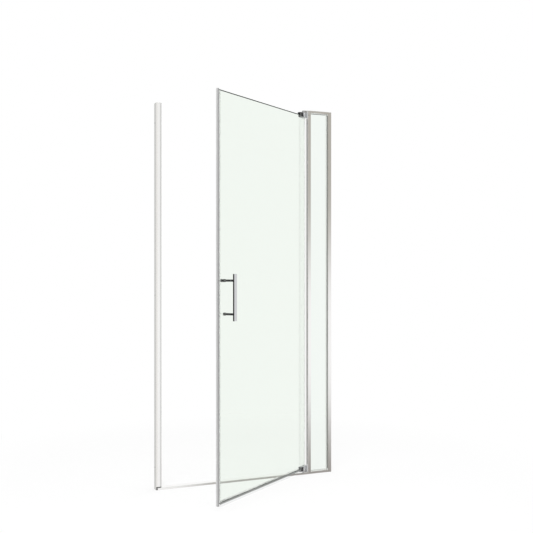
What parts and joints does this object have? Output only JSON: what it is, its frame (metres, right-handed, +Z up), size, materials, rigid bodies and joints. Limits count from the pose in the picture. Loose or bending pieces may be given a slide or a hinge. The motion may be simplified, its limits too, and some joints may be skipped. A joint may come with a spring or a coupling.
{
  "type": "shower door",
  "caption": "Pivot shower door: a glass leaf with a bar handle swings on pivots beside an inline framed glass panel, closing on a magnetic strike jamb over a low sill.",
  "frame": {"origin": "underside of the sill, half way between the two walls, in the middle plane of the closed glass", "axes": "+X along the opening from the strike jamb to the fixed panel, +Y into the shower, +Z up"},
  "size_m": [0.914, 0.4667, 1.829],
  "materials": {
    "bright_aluminium": "bright polished anodised",
    "chrome": "polished plating",
    "clear_glass": "clear tempered, polished edges",
    "clear_vinyl": "clear extruded vinyl",
    "glazing_vinyl": "grey flexible vinyl",
    "magnet_strip": "flexible magnetic strip",
    "cap_plastic": "moulded grey",
    "black_plastic": "moulded black",
    "bush_plastic": "moulded natural white",
    "gasket_rubber": "soft black sheet",
    "steel": "stainless"
  },
  "bodies": {
    "frame": {"bottom_pivot_bracket": "chrome", "bottom_pivot_bush": "bush_plastic", "hinge_post": "bright_aluminium", "hinge_post_cap": "cap_plastic", "jamb_cap": "cap_plastic", "jamb_foot": "black_plastic", "left_wall_channel": "bright_aluminium", "panel_bottom_rail": "bright_aluminium", "panel_glass": "clear_glass", "panel_glazing_vinyl": "glazing_vinyl", "panel_top_rail": "bright_aluminium", "post_face_screws": "steel", "right_wall_channel": "bright_aluminium", "sill": "bright_aluminium", "strike_magnet": "magnet_strip", "strike_post": "bright_aluminium", "top_pivot_bracket": "chrome", "top_pivot_bush": "bush_plastic", "wall_post": "bright_aluminium", "wall_post_cap": "cap_plastic"},
    "door": {"door_glass": "clear_glass", "top_clamp_outer": "chrome", "top_clamp_inner": "chrome", "top_clamp_gasket": "gasket_rubber", "top_pivot_pin": "steel", "bottom_clamp_outer": "chrome", "bottom_clamp_inner": "chrome", "bottom_clamp_gasket": "gasket_rubber", "bottom_pivot_pin": "steel", "clamp_screws": "steel", "strike_seal": "clear_vinyl", "strike_seal_magnet": "magnet_strip", "hinge_seal": "clear_vinyl", "door_sweep": "clear_vinyl", "handle_bar": "chrome", "upper_standoff": "chrome", "lower_standoff": "chrome", "handle_bushes": "bush_plastic", "handle_studs": "steel", "inside_knob": "chrome", "inside_cap_nut": "chrome"}
  },
  "joints": [
    {"name": "door_pivot", "type": "hinge", "parent": "frame", "child": "door", "pos_m": [0.3102, 0, 0], "axis": [0, 0, 1], "range_deg": [-35, 60]}
  ]
}
